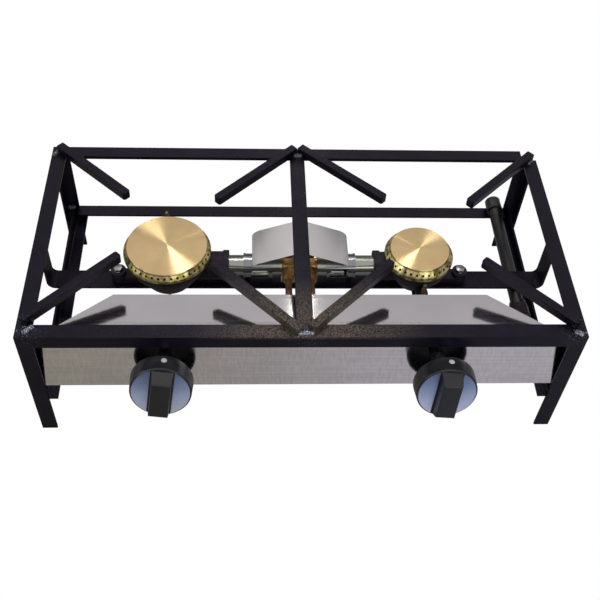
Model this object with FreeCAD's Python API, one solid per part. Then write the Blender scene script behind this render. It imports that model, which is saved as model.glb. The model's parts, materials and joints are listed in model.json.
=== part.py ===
import FreeCAD, Part
import math
import os

from FreeCAD import Placement, Rotation, Vector

# Twin-burner gas boiling table. Millimetres. X right, Y back, Z up, floor at Z = 0.
# Built about the middle of the frame; the whole is moved at the end so that the
# middle of its bounding box stands over the origin.

# ---------------------------------------------------------------- driving dimensions
frame_w, frame_d, rail_top = 600.0, 296.0, 173.0
angle, angle_t = 17.2, 2.5            # rolled angle iron, leg and thickness
angle_root = 2.5                      # rolled root radius
low_rail_z = 57.0                     # underside of the lower rails
low_rail_inset = 9.5                  # of the lower side rails from the frame's side
low_rail_out = frame_w / 2 - low_rail_inset
low_rear_top = 72.5
centre_rail_w, centre_rail_t, centre_rail_x = 18.0, 3.0, -0.4
rear_right_cope = 17.0                # side rail stops short of the open rear right corner
rear_right_leg_drop = 12.0

bar_w, bar_t, bar_top, bar_bend = 26.0, 3.0, 96.0, 10.0
bar_tab_top = 166.0

finger_s, finger_cut, finger_ease = 10.0, 1.8, 0.8
# each pot finger is welded on by hand: middle of its tip, then of its outer end
finger_lines = {
    "front_left": ((-202.5, -38.8), (-293.0, -129.0)),
    "front_right": ((203.0, -45.3), (290.0, -134.5)),
    "rear_left": ((-201.5, 57.5), (-290.0, 141.5)),
    "rear_right": ((201.0, 47.3), (292.0, 133.5)),
    "front_centre_left": ((-98.3, -50.5), (-6.0, -143.4)),
    "front_centre_right": ((98.9, -48.5), (5.8, -140.2)),
    "rear_centre_left": ((-97.5, 50.4), (-3.8, 141.3)),
    "rear_centre_right": ((100.4, 53.6), (3.8, 142.2)),
}

burner_left_x, burner_right_x = -154.0, 140.5
tube_z = 120.0                        # axis of both mixing tubes
tube_od, tube_wall, tube_end = 25.0, 1.5, 21.0
shutter_gap, shutter_wall = 0.35, 1.4
shutter_in, shutter_out = 32.0, 66.0
window_in, window_out = 36.5, 57.0
injector_x = 13.4

panel_tilt = 14.0                     # the control face leans back
panel_t, panel_h, panel_half_w = 1.0, 80.0, 294.0
panel_foot_z = 84.0
flange_run, flange_half_w, flange_cut, panel_hem = 60.0, 264.0, 55.0, 9.0

knob_s = 24.0                         # knob axis above the panel's lower edge
knob_x = 152.8
knob_r, knob_face_r = 34.0, 33.0
knob_back, knob_rim, knob_face, knob_front = 18.5, 22.5, 39.3, 54.0
knob_grip_foot, knob_grip_top = 30.8, 22.0
knob_bar_w, knob_wall = 22.0, 2.4
knob_turn = {"left": -8.0, "right": -5.0}
knob_out = {"left": 0.0, "right": 4.0}    # the right knob is not pushed fully home
spindle_r, spindle_gap = 4.0, 0.06
push_travel = 3.0

pipe_od, pipe_wall, pipe_bend = 16.0, 2.0, 24.0
pipe_x, pipe_z = frame_w / 2 - 33.5, 83.3
pipe_rear_y, union_y = 138.0, -20.0
valve_depth, valve_drop = 31.0, 21.0  # barrel middle behind the panel, main below it
supply_od = 8.0
inlet_thread_r, inlet_len, socket_r = 7.475, 12.0, 10.4

shield_half_l, shield_half_w, shield_t = 56.0, 26.0, 0.8
shield_ridge, shield_edge, shield_y = 169.5, 149.5, 1.0

# ---------------------------------------------------------------- named clearances
cap_gap = 0.45          # cap skirt inside the bowl's mouth
plug_gap = 0.35         # tap plug inside its barrel
tang_gap = 0.35         # spindle tang in the plug's slot
panel_hole_gap = 1.0    # spindle through the panel
pipe_rest_gap = 0.3     # inlet pipe over its bracket

half_w, half_d = frame_w / 2, frame_d / 2
lean = math.radians(panel_tilt)
panel_up = Vector(0, math.sin(lean), math.cos(lean))
panel_out = Vector(0, -math.cos(lean), math.sin(lean))
panel_foot = Vector(0, -half_d + angle_t, panel_foot_z)
knob_frame_turn = Rotation(Vector(1, 0, 0), 90 - panel_tilt)

parts = {}


# ---------------------------------------------------------------- small helpers
def box(x0, x1, y0, y1, z0, z1):
    return Part.makeBox(x1 - x0, y1 - y0, z1 - z0, Vector(x0, y0, z0))


def cyl(r, z0, z1, at=Vector(0, 0, 0), axis=Vector(0, 0, 1)):
    """Cylinder from z0 to z1 measured along axis from a point."""
    d = Vector(axis).normalize()
    return Part.makeCylinder(r, z1 - z0, at + d * z0, d)


def prism(points, direction):
    wire = Part.makePolygon([Vector(*p) for p in points] + [Vector(*points[0])])
    return Part.Face(wire).extrude(Vector(*direction))


def revolve(profile, at=Vector(0, 0, 0)):
    """Solid turned about +Z from (radius, height) points."""
    pts = [Vector(r, 0, z) for r, z in profile]
    face = Part.Face(Part.makePolygon(pts + [pts[0]]))
    solid = face.revolve(Vector(0, 0, 0), Vector(0, 0, 1), 360)
    solid.translate(at)
    return solid


def tidy(shape):
    shape = shape.removeSplitter()
    return shape.Solids[0] if len(shape.Solids) == 1 else shape


def group(solids):
    return Part.makeCompound(list(solids))


def mirrored(shape):
    return shape.mirror(Vector(0, 0, 0), Vector(1, 0, 0))


def round_edges(shape, radius, wanted):
    edges = [e for e in shape.Edges if wanted(e)]
    return shape.makeFillet(radius, edges) if edges else shape


def hexagon(flats, z0, z1, eased=False):
    """Hexagonal bar along +Z; its corners can be eased by a cone at both ends."""
    r = flats / math.sqrt(3)
    pts = [(r * math.cos(math.radians(60 * i)), r * math.sin(math.radians(60 * i)), z0)
           for i in range(6)]
    if not eased:
        return prism(pts, (0, 0, z1 - z0))
    ease = (r - flats / 2) * 0.6
    turned = revolve([(0, z0), (flats / 2, z0), (r, z0 + ease), (r, z1 - ease),
                      (flats / 2, z1), (0, z1)])
    return prism(pts, (0, 0, z1 - z0)).common(turned)


def aimed(shape, at, axis):
    """Turn a shape made along +Z to point along axis, and place it."""
    s = shape.copy()
    s.Placement = Placement(at, Rotation(Vector(0, 0, 1), axis)).multiply(s.Placement)
    return s


def bent_tube(points, radius, bend, bore=0.0):
    """Round tube through corner points, each corner a true bend."""
    pts = [Vector(*p) for p in points]
    edges, start = [], pts[0]
    for a, b, c in zip(pts, pts[1:], pts[2:]):
        u, v = (a - b).normalize(), (c - b).normalize()
        half = u.getAngle(v) / 2
        reach = bend / math.tan(half)
        p, q = b + u * reach, b + v * reach
        middle = (u + v).normalize()
        centre = b + middle * (bend / math.sin(half))
        edges.append(Part.makeLine(start, p))
        edges.append(Part.Arc(p, centre - middle * bend, q).toShape())
        start = q
    edges.append(Part.makeLine(start, pts[-1]))
    path = Part.Wire(edges)
    along = (pts[1] - pts[0]).normalize()

    def sweep(r):
        ring = Part.Wire(Part.makeCircle(r, pts[0], along))
        return path.makePipeShell([ring], True, True)
    return sweep(radius).cut(sweep(bore)) if bore else sweep(radius)


# ---------------------------------------------------------------- angle-iron frame
def angle_section(length, t=angle_t):
    """Angle iron along +Y: corner on the Z axis, legs along +X (top) and -Z."""
    c = Vector(0, 0, 0)
    pts = [(0, 0, 0), (angle, 0, 0), (angle, 0, -t), (t, 0, -t), (t, 0, -angle), (0, 0, -angle)]
    bar = prism(pts, (0, length, 0))
    inner = lambda e: (abs(e.CenterOfMass.x - t) < 0.01 and abs(e.CenterOfMass.z + t) < 0.01
                       and e.Length > length - 1)
    return round_edges(bar, angle_root, inner)


def side_rail(sign, rear_end):
    """Top side rail. The top leg spans the corners, the outer leg butts the legs."""
    bar = angle_section(half_d + rear_end)
    bar.translate(Vector(-half_w, -half_d, rail_top))
    bar = bar.cut(box(-half_w - 1, -half_w + angle + 1, -half_d - 1, -half_d + angle,
                      0, rail_top - angle_t))
    bar = bar.cut(box(-half_w - 1, -half_w + angle + 1, half_d - angle, half_d + 1,
                      0, rail_top - angle_t))
    bar = tidy(bar)
    return bar if sign < 0 else mirrored(bar)


def cross_rail(front):
    """Front or rear top rail between the side rails."""
    length = frame_w - 2 * angle
    bar = angle_section(length)
    bar.rotate(Vector(0, 0, 0), Vector(0, 0, 1), 90)
    bar.translate(Vector(length / 2, -half_d, rail_top))
    if not front:
        bar.rotate(Vector(0, 0, 0), Vector(0, 0, 1), 180)
    return bar


def centre_rail():
    y = half_d - angle
    rail = box(centre_rail_x - centre_rail_w / 2, centre_rail_x + centre_rail_w / 2, -y, y,
               rail_top - centre_rail_t, rail_top)
    return round_edges(rail, 0.8, lambda e: e.Length > 2 * y - 1)


def leg(x_sign, y_sign, top):
    """Upright angle with its corner outwards, at one corner of the frame."""
    pts = [(0, 0, 0), (angle, 0, 0), (angle, angle_t, 0), (angle_t, angle_t, 0),
           (angle_t, angle, 0), (0, angle, 0)]
    post = prism(pts, (0, 0, top))
    inner = lambda e: (abs(e.CenterOfMass.x - angle_t) < 0.01 and e.Length > top - 1
                       and abs(e.CenterOfMass.y - angle_t) < 0.01)
    post = round_edges(post, angle_root, inner)
    post.translate(Vector(-half_w, -half_d, 0))
    if x_sign > 0:
        post = mirrored(post)
    return post if y_sign < 0 else post.mirror(Vector(0, 0, 0), Vector(0, 1, 0))


def low_side_rail(sign):
    """Lower side rail: foot leg turned inwards, upright leg outside."""
    length = frame_d - 2 * angle_t
    bar = angle_section(length)
    bar.rotate(Vector(0, 0, 0), Vector(0, 1, 0), -90)
    bar.translate(Vector(-low_rail_out, -length / 2, low_rail_z))
    return bar if sign < 0 else mirrored(bar)


def low_rear_rail():
    length = frame_w - 2 * angle
    bar = angle_section(length)
    bar.rotate(Vector(0, 0, 0), Vector(0, 0, 1), -90)
    bar.translate(Vector(-length / 2, half_d, low_rear_top))
    return bar


def pot_finger(name):
    """Square bar on top of the rails, its tip aimed at the burner."""
    (x0, y0), (x1, y1) = finger_lines[name]
    length = math.hypot(x1 - x0, y1 - y0)
    h, c = finger_s / 2, finger_cut
    pts = [(0, -h + c, 0), (c, -h, 0), (length, -h, 0), (length, h, 0), (c, h, 0), (0, h - c, 0)]
    bar = prism(pts, (0, 0, finger_s))
    along_top = lambda e: e.CenterOfMass.z > finger_s - 0.01 and e.Length > length / 2
    bar = round_edges(bar, finger_ease, along_top)
    bar.rotate(Vector(0, 0, 0), Vector(0, 0, 1), math.degrees(math.atan2(y1 - y0, x1 - x0)))
    bar.translate(Vector(x0, y0, rail_top))
    return bar


def weld_bead(x, y, z, heading, length, r=3.2):
    """Short fillet of weld, rounded at both ends, lying on a joint."""
    a = math.radians(heading)
    d = Vector(math.cos(a), math.sin(a), 0)
    p, q = Vector(x, y, z) - d * (length / 2), Vector(x, y, z) + d * (length / 2)
    bead = Part.makeCylinder(r, length, p, d)
    bead = bead.fuse(Part.makeSphere(r, p)).fuse(Part.makeSphere(r, q))
    return tidy(bead)


def weld_beads(frame_shapes):
    """Beads where the fingers and rails meet, lying on the steel they join."""
    low = low_rail_z + angle
    x, y = frame_w / 2, frame_d / 2
    spots = [(-x + 13.5, -y + 10.5, rail_top, 45, 9), (x - 9.5, -y + 4.8, rail_top, -30, 5),
             (0.0, -y + 5.5, rail_top, 0, 13), (-x + 5.0, y - 13.0, rail_top, 60, 6),
             (-x + 8.0, y - 4.7, low, 0, 5), (x - 9.0, y - 21.0, rail_top, 45, 5),
             (0.5, y - 13.0, rail_top, 0, 6)]
    beads = []
    for spot in spots:
        bead = weld_bead(*spot)
        for shape in frame_shapes:
            if shape.BoundBox.intersect(bead.BoundBox):
                bead = bead.cut(shape)
        pieces = sorted(bead.Solids, key=lambda s: s.Volume)
        top = [s for s in pieces if s.CenterOfMass.z > spot[2]]
        beads.append(max(top or pieces, key=lambda s: s.Volume))
    return group(beads)


def support_bar():
    """Flat bar across the middle, turned up at both ends against the side rails."""
    x = half_w - angle_t
    z0, z1 = bar_top - bar_t, bar_tab_top
    o, i = bar_bend, bar_bend - bar_t
    k = math.sqrt(0.5)

    def arc(cx, cz, r, a0, a1, a2):
        p = [Vector(cx + r * math.cos(math.radians(a)), 0, cz + r * math.sin(math.radians(a)))
             for a in (a0, a1, a2)]
        return Part.Arc(*p).toShape()
    cz = z0 + o
    left, right = -x + o, x - o
    edges = [Part.makeLine(Vector(-x, 0, z1), Vector(-x, 0, cz)),
             arc(left, cz, o, 180, 225, 270),
             Part.makeLine(Vector(left, 0, z0), Vector(right, 0, z0)),
             arc(right, cz, o, 270, 315, 360),
             Part.makeLine(Vector(x, 0, cz), Vector(x, 0, z1)),
             Part.makeLine(Vector(x, 0, z1), Vector(x - bar_t, 0, z1)),
             Part.makeLine(Vector(x - bar_t, 0, z1), Vector(x - bar_t, 0, cz)),
             arc(right, cz, i, 360, 315, 270),
             Part.makeLine(Vector(right, 0, bar_top), Vector(left, 0, bar_top)),
             arc(left, cz, i, 270, 225, 180),
             Part.makeLine(Vector(-x + bar_t, 0, cz), Vector(-x + bar_t, 0, z1)),
             Part.makeLine(Vector(-x + bar_t, 0, z1), Vector(-x, 0, z1))]
    bar = Part.Face(Part.Wire(edges)).extrude(Vector(0, bar_w, 0))
    bar.translate(Vector(0, -bar_w / 2, 0))
    for x in lug_places():
        bar = bar.cut(cyl(lug_screw_r + 0.25, 0, 200, Vector(x, 0, 0)))
    return tidy(bar)


# ---------------------------------------------------------------- burners
lug_screw_r, lug_h = 3.0, 16.0
lug_x = {"left": -214.0, "right": 194.5}
burner_sizes = {
    # radii of the cap's rim and face, heights of its seat, middle and the foot of its port cone
    "left": {"x": burner_left_x, "rim": 50.5, "face": 46.0, "seat": 143.0, "top": 157.0,
             "cone_foot": 147.5, "neck": 71.0, "ports": 42, "skirt": 4.0},
    "right": {"x": burner_right_x, "rim": 40.5, "face": 34.3, "seat": 136.0, "top": 152.5,
              "cone_foot": 141.5, "neck": 52.5, "ports": 34, "skirt": 3.0},
}
port_r = 1.1


def inward(side):
    """Direction along X from a burner to the middle of the table."""
    return 1 if side == "left" else -1


def lug_places():
    return [lug_x["left"], lug_x["right"]]


def burner_bowl(side):
    """Cast bowl on the support bar, with its tube socket and its screw lug."""
    b = burner_sizes[side]
    rim, seat = b["rim"], b["seat"]
    base, wall = rim * 0.45, 3.5
    lip = rim - 2.0
    belly = rim * 0.88
    outer = [(0, bar_top), (base, bar_top), (base + 5, bar_top + 4), (belly, seat - 15),
             (lip, seat - 5), (lip, seat), (0, seat)]
    inner = [(0, bar_top + 6), (base + 1, bar_top + 6), (belly - wall, seat - 13),
             (lip - wall, seat - 4), (lip - wall, seat + 1), (0, seat + 1)]
    d = inward(side)
    bowl = revolve(outer)
    axis = Vector(d, 0, 0)
    neck_len = b["neck"]
    neck = cyl(tube_od / 2 + 4.5, 10, neck_len, Vector(0, 0, tube_z), axis)
    collar = cyl(tube_od / 2 + 6.0, neck_len - 7, neck_len, Vector(0, 0, tube_z), axis)
    neck = neck.fuse(collar).cut(box(-200, 200, -60, 60, seat, 300))
    arm_end = abs(lug_x[side] - b["x"])
    arm = box(-arm_end, -base + 4, -8, 8, bar_top, bar_top + lug_h - 6)
    boss = cyl(9, bar_top, bar_top + lug_h, Vector(-arm_end, 0, 0))
    lug = arm.fuse(boss)
    if d < 0:
        lug.rotate(Vector(0, 0, 0), Vector(0, 0, 1), 180)
    body = bowl.fuse(neck).fuse(lug)
    body = body.cut(revolve(inner))
    body = body.cut(cyl(tube_od / 2, 22, neck_len + 1, Vector(0, 0, tube_z), axis))
    body = body.cut(cyl(tube_od / 2 - tube_wall, 0, 30, Vector(0, 0, tube_z), axis))
    body = body.cut(cyl(lug_screw_r + 0.25, 0, 200, Vector(-d * arm_end, 0, 0)))
    body.translate(Vector(b["x"], 0, 0))
    return tidy(body)


def port_drill(length):
    """Flame port, six-sided to keep the drilled ring light."""
    return hexagon(2 * port_r, 0, length)


def burner_cap(side):
    """Turned brass cap: low face, drilled cone, upright rim and a skirt inside the bowl."""
    b = burner_sizes[side]
    rim, face, seat, top, foot = b["rim"], b["face"], b["seat"], b["top"], b["cone_foot"]
    skirt = rim - 2.0 - 3.5 - cap_gap
    edge = [(0, top), (face, top - 2.0), (face + 0.6, top - 2.8), (face + 0.2, top - 3.4)]
    side_wall = [(rim - 0.2, foot), (rim, foot - 0.8), (rim, seat + 0.8), (rim - 0.8, seat)]
    below = [(skirt, seat), (skirt, seat - b["skirt"]), (skirt - 2.2, seat - b["skirt"]),
             (skirt - 2.2, foot - 3.0), (face - 3.4, top - 6.5), (0, top - 4.5)]
    cap = revolve(edge + side_wall + below)
    cone_r, cone_z = rim - face - 0.4, top - 3.4 - foot
    share = 0.6
    mouth = Vector(face + 0.2 + cone_r * share, 0, top - 3.4 - cone_z * share)
    square_on = Vector(cone_z, 0, cone_r).normalize()
    drill = aimed(port_drill(10.0), mouth - square_on * 8.5, square_on)
    holes = []
    for i in range(b["ports"]):
        h = drill.copy()
        h.rotate(Vector(0, 0, 0), Vector(0, 0, 1), 360.0 * (i + 0.5) / b["ports"])
        holes.append(h)
    cap = cap.cut(holes)
    cap.translate(Vector(b["x"], 0, 0))
    return tidy(cap)


def mixing_tube(side):
    """Plated tube from the bowl's socket to the injector, with two air windows."""
    b = burner_sizes[side]
    d = inward(side)
    far = b["x"] + d * 22.0
    near = -d * tube_end
    a, z = min(far, near), max(far, near)
    at, axis = Vector(0, 0, tube_z), Vector(1, 0, 0)
    tube = cyl(tube_od / 2, a, z, at, axis).cut(
        cyl(tube_od / 2 - tube_wall, a - 1, z + 1, at, axis))
    w0, w1 = sorted((-d * window_in, -d * window_out))
    slot = box(w0 + 1, w1 - 1, -30, 30, tube_z - 6, tube_z + 6)
    return tidy(tube.cut(slot))


def air_shutter(side):
    """Turning sleeve over the tube's windows, with a clamping screw's boss."""
    d = inward(side)
    at, axis = Vector(0, 0, tube_z), Vector(1, 0, 0)
    a, z = sorted((-d * shutter_in, -d * shutter_out))
    r = tube_od / 2 + shutter_gap
    sleeve = cyl(r + shutter_wall, a, z, at, axis)
    for lip in ((a, a + 2.0), (z - 2.0, z)):
        sleeve = sleeve.fuse(cyl(r + shutter_wall + 0.7, lip[0], lip[1], at, axis))
    w0, w1 = sorted((-d * window_in, -d * window_out))
    sleeve = sleeve.cut(cyl(r, a - 1, z + 1, at, axis))
    sleeve = sleeve.cut(box(w0, w1, -30, 30, tube_z - 7.5, tube_z + 7.5))
    sleeve = sleeve.cut(cyl(1.85, tube_z - r - 6, tube_z - r + 3,
                            Vector(-d * (shutter_out - 4.5), 0, 0)))
    return group([tidy(sleeve), shutter_screw(side)])


def shutter_screw(side):
    """Slotted screw in the sleeve's underside that holds its setting."""
    d = inward(side)
    x = -d * (shutter_out - 4.5)
    r = tube_od / 2 + shutter_gap
    z_top = tube_z - r - 0.1
    screw = cyl(1.8, z_top - 5.0, z_top, Vector(x, 0, 0))
    head = cyl(3.4, z_top - 8.0, z_top - 5.0, Vector(x, 0, 0))
    head = head.cut(box(x - 4, x + 4, -0.45, 0.45, z_top - 9, z_top - 7))
    return tidy(screw.fuse(head))


def lug_screws():
    """Hexagon screws and nuts that hold both burners to the support bar."""
    solids = []
    top = bar_top + lug_h
    for x in lug_places():
        head = hexagon(10.0, 0, 4.5, True)
        head.translate(Vector(x, 0, top))
        shank = cyl(lug_screw_r, bar_top - bar_t - 7, top + 1, Vector(x, 0, 0))
        solids.append(tidy(head.fuse(shank)))
        nut = hexagon(10.0, 0, 5.0).cut(cyl(lug_screw_r, -1, 6))
        nut.translate(Vector(x, 0, bar_top - bar_t - 5))
        solids.append(nut)
    return group(solids)


# ---------------------------------------------------------------- injectors, shield
def injector(side):
    """Brass elbow: jet into the mixing tube, hexagon union towards the front."""
    d = inward(side)
    x = -d * injector_x
    core = Vector(x, 0, tube_z)
    body = box(x - 7.5, x + 7.5, -8.0, 7.0, tube_z - 7.5, tube_z + 7.5)
    body = body.makeChamfer(1.6, body.Edges)
    outwards = Vector(-d, 0, 0)
    plug = cyl(tube_od / 2 - tube_wall - 0.1, 7.8, 13.5, core, outwards)
    flange = cyl(9.2, 5.0, 8.0, core, outwards)
    jet = aimed(revolve([(0, 0), (4.5, 0), (4.5, 9), (2.4, 13), (0, 13)]),
                core + outwards * 12.0, outwards)
    body = body.fuse(flange).fuse(plug).fuse(jet)
    nut = hexagon(14.0, 0, 12.0)
    nut.rotate(Vector(), Vector(0, 0, 1), 30)
    union = aimed(nut, core + Vector(0, -8.0, 0), Vector(0, -1, 0))
    gland = cyl(6.0, 20.0, 25.0, core, Vector(0, -1, 0))
    body = body.fuse(union).fuse(gland)
    body = body.cut(cyl(supply_od / 2, 12.0, 30.0, core, Vector(0, -1, 0)))
    body = body.cut(cyl(0.9, 0, 30.0, core, outwards))
    return tidy(body)


def injector_bracket():
    """Folded plate on the support bar behind the injectors, up under the shield."""
    t, x0, x1, y = 1.5, -21.0, 18.0, 9.5
    slope = (shield_ridge - shield_edge) / shield_half_l
    top = lambda x: shield_ridge - shield_t - slope * abs(x) - 1.0
    plate = prism([(x0, y, bar_top), (x1, y, bar_top), (x1, y, top(x1)), (0, y, top(0)),
                   (x0, y, top(x0))], (0, t, 0))
    foot = box(x0, x1, -6.0, y + 0.5, bar_top, bar_top + t)
    plate = plate.fuse(foot)
    for d in (-1, 1):
        plate = plate.cut(box(d * injector_x - 4, d * injector_x + 4, y - 1, y + 3,
                              tube_z + 12, tube_z + 20))
    return tidy(plate)


def heat_shield():
    """Thin ridged cover over both injectors, with eased corners and turned ends."""
    end = 7.0
    x1, x0 = shield_half_l, shield_half_l - end
    z_in = shield_edge + 1.6
    outer = [(-x1, shield_edge - 3.6), (-x0, z_in), (0, shield_ridge), (x0, z_in),
             (x1, shield_edge - 3.6)]
    w = shield_half_w
    pts = [(x, -w, z) for x, z in outer] + [(x, -w, z - shield_t) for x, z in reversed(outer)]
    sheet = prism(pts, (0, 2 * w, 0))
    trim = box(-x1, x1, -w, w, 0, 200)
    trim = round_edges(trim, 4.0, lambda e: e.Length > 199 and abs(e.CenterOfMass.z - 100) < 1)
    cover = tidy(sheet.common(trim))
    cover.translate(Vector(0, shield_y, 0))
    return cover


# ---------------------------------------------------------------- control panel
def panel_point(x, s, out):
    return panel_foot + Vector(x, 0, 0) + panel_up * s + panel_out * out


def front_panel():
    """One folded sheet: leaning face, top flange with cut corners, foot hem, ends."""
    t = panel_t
    face = Part.makeBox(2 * panel_half_w, panel_h, t, Vector(-panel_half_w, 0, -t))
    hem = Part.makeBox(2 * panel_half_w, t, panel_hem, Vector(-panel_half_w, 0, -panel_hem))
    w, f, r = panel_half_w, flange_half_w, flange_run
    cut = flange_cut
    outline = [(-f, panel_h, 0), (f, panel_h, 0), (f, panel_h, -t), (f - cut, panel_h, -r),
               (-f + cut, panel_h, -r), (-f, panel_h, -t)]
    flange = prism(outline, (0, -t, 0))
    sheet = face.fuse(hem).fuse(flange)
    for d in (-1, 1):
        end = Part.makeBox(t, panel_h - 12, 12.0, Vector(d * w - (t if d > 0 else 0), 0, -12.0))
        sheet = sheet.fuse(end)
    sheet = tidy(sheet)
    fold = lambda e: (e.Length > 2 * f - 1 and abs(e.CenterOfMass.y - panel_h) < 0.01
                      and abs(e.CenterOfMass.z) < 0.01)
    sheet = round_edges(sheet, 0.9, fold)
    for d in (-1, 1):
        sheet = sheet.cut(cyl(spindle_r + panel_hole_gap + 2.5, -5, 5,
                              Vector(d * knob_x, knob_s, 0)))
    sheet.Placement = Placement(panel_foot, knob_frame_turn)
    return sheet


# ---------------------------------------------------------------- taps and knobs
def seated(shape, side, turn=0.0, out=0.0):
    """Place a shape made along a knob's own axis (+Z outwards, +Y up the panel)."""
    x = -knob_x if side == "left" else knob_x
    s = shape.copy()
    base = Placement(panel_point(x, knob_s, 0), knob_frame_turn)
    s.Placement = base.multiply(Placement(Vector(0, 0, out), Rotation(Vector(0, 0, 1), turn)))
    return s


def valve(side):
    """Brass tap body: barrel, spindle neck, saddle on the main and outlet union."""
    d = inward(side)
    mid = -valve_depth
    barrel = revolve([(0, mid - 17), (11.0, mid - 17), (12.0, mid - 16), (12.0, mid + 13),
                      (9.0, mid + 16), (9.0, -8.0), (7.2, -8.0), (7.2, -1.2), (0, -1.2)])
    lock = hexagon(19.0, 0, 4.5)
    lock.translate(Vector(0, 0, -8.0))
    saddle = cyl(7.0, 6, valve_drop - pipe_od / 2 + 1.5, Vector(0, 0, mid), Vector(0, -1, 0))
    clamp_y = -valve_drop
    strap = cyl(pipe_od / 2 + 2.2, -9.0, 9.0, Vector(0, clamp_y, mid), Vector(1, 0, 0))
    outlet = cyl(6.0, 0, 22.0, Vector(0, 0, mid - 4), Vector(d, 0, 0))
    nut = aimed(hexagon(14.0, 0, 10.0), Vector(d * 18.0, 0, mid - 4), Vector(d, 0, 0))
    body = barrel.fuse(lock).fuse(saddle).fuse(strap).fuse(outlet).fuse(nut)
    body = body.cut(cyl(pipe_od / 2, -12.0, 12.0, Vector(0, clamp_y, mid), Vector(1, 0, 0)))
    body = body.cut(cyl(supply_od / 2, 14.0, 40.0, Vector(0, 0, mid - 4), Vector(d, 0, 0)))
    cavity = revolve([(0, mid - 13), (7.0 + plug_gap, mid - 13), (8.4 + plug_gap, mid + 7),
                      (8.4 + plug_gap, mid + 9), (0, mid + 9)])
    body = body.cut(cavity)
    body = body.cut(cyl(spindle_r + spindle_gap, mid, 5))
    return tidy(seated(body, side))


def tap_plug(side):
    """Tapered plug that the spindle's tang turns inside the tap."""
    mid = -valve_depth
    plug = revolve([(0, mid - 12.4), (7.0, mid - 12.4), (8.3, mid + 6), (8.3, mid + 8.4),
                    (0, mid + 8.4)])
    plug = plug.cut(cyl(spindle_r + 0.3, mid + 1.5, mid + 20))
    slot = Part.makeBox(2 * tang_half_w + 2 * tang_gap, 3.0 + 2 * tang_gap, 16.0,
                        Vector(-tang_half_w - tang_gap, -1.5 - tang_gap, mid - 9.0))
    plug = plug.cut(slot)
    plug = plug.cut(cyl(2.2, -20, 20, Vector(0, 0, mid - 4), Vector(1, 0, 0)))
    return tidy(seated(plug, side, knob_turn[side]))


tang_half_w = 3.4


def spindle(side):
    """Tap spindle: tang in the plug, round in the neck, flatted in the knob."""
    mid = -valve_depth
    rod = cyl(spindle_r, mid + 1.5 + push_travel + 1.0, knob_face + 4)
    tang = Part.makeBox(2 * tang_half_w, 3.0, 12.0, Vector(-tang_half_w, -1.5, mid - 4.0))
    rod = rod.fuse(tang.common(cyl(spindle_r, mid - 20, 0)))
    flat = box(-10, 10, spindle_r - 1.2, 10, knob_back + 2, 100)
    return tidy(seated(rod.cut(flat), side, knob_turn[side]))


def grip_bar():
    """The knob's grip: a bar across the face with sloping ends and drafted sides."""
    w, y0, y1 = knob_bar_w / 2, knob_grip_foot, knob_grip_top
    z0, z1 = knob_face - 4.0, knob_front
    low = [Vector(x, y, z0) for x, y in ((-w - 0.7, -y0), (w + 0.7, -y0), (w + 0.7, y0),
                                         (-w - 0.7, y0))]
    high = [Vector(x, y, z1) for x, y in ((-w + 0.8, -y1), (w - 0.8, -y1), (w - 0.8, y1),
                                          (-w + 0.8, y1))]
    rings = [Part.makePolygon(r + [r[0]]) for r in (low, high)]
    return Part.makeLoft(rings, True, True)


def knob(side):
    """Moulded knob: hollow skirt, coned rim, grip bar and a flatted hub."""
    body = revolve([(0, knob_back), (knob_r - 0.8, knob_back), (knob_r, knob_back + 0.8),
                    (knob_r, knob_rim), (knob_face_r, knob_face - 1.2),
                    (knob_face_r - 1.2, knob_face), (0, knob_face + 1.4)])
    w = knob_wall
    hollow = revolve([(0, knob_back - 1), (knob_r - w, knob_back - 1), (knob_r - w, knob_rim),
                      (knob_face_r - w, knob_face - w - 1), (0, knob_face - w - 1)])
    grip = grip_bar()
    grip = round_edges(grip, 1.4, lambda e: e.CenterOfMass.z > knob_front - 0.01)
    body = body.cut(hollow).fuse(grip)
    hub = cyl(7.5, knob_back - 4, knob_face)
    body = body.fuse(hub)
    socket = cyl(spindle_r, 0, knob_face + 4)
    flat = box(-10, 10, spindle_r - 1.2, 10, knob_back + 2, 100)
    body = body.cut(socket.cut(flat)).cut(cyl(spindle_r, 0, knob_back + 2))
    for seat in insert_plates(0.0):
        body = body.cut(seat)
    dot_seat, unused = dot_shapes()
    body = body.cut(dot_seat)
    return tidy(seated(body, side, knob_turn[side], knob_out[side]))


def insert_plates(proud):
    """The two D-shaped face plates beside the grip, let into the face."""
    plates = []
    edge = knob_bar_w / 2 + 1.9
    top = knob_face + 1.4
    z_at = lambda r: knob_face + 1.4 * (1 - r / (knob_face_r - 1.2))
    r = knob_face_r - 1.8
    shell = revolve([(0, z_at(0) - 0.8), (r, z_at(r) - 0.8), (r, z_at(r) + proud),
                     (0, z_at(0) + proud)])
    for d in (-1, 1):
        x0, x1 = sorted((d * edge, d * 60))
        plates.append(shell.common(box(x0, x1, -60, 60, 0, 100)))
    return plates


def knob_insert(side):
    return group([seated(p, side, knob_turn[side], knob_out[side]) for p in insert_plates(0.25)])


dot_z = 26.5


def dot_shapes():
    """Recess and filled dot on the coned rim above the grip."""
    rise = (dot_z - knob_rim) / (knob_face - 1.2 - knob_rim)
    slope = Vector(0, knob_face - 1.2 - knob_rim, knob_r - knob_face_r).normalize()
    at = Vector(0, knob_r + (knob_face_r - knob_r) * rise, dot_z)
    dot = Part.makeCylinder(3.1, 1.0, at - slope * 0.7, slope)
    return dot, dot


def knob_dot(side):
    return tidy(seated(dot_shapes()[1], side, knob_turn[side], knob_out[side]))


# ---------------------------------------------------------------- gas line
def main_point():
    """Where the gas main's axis passes under each tap."""
    return panel_point(0, knob_s - valve_drop, -valve_depth)


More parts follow.
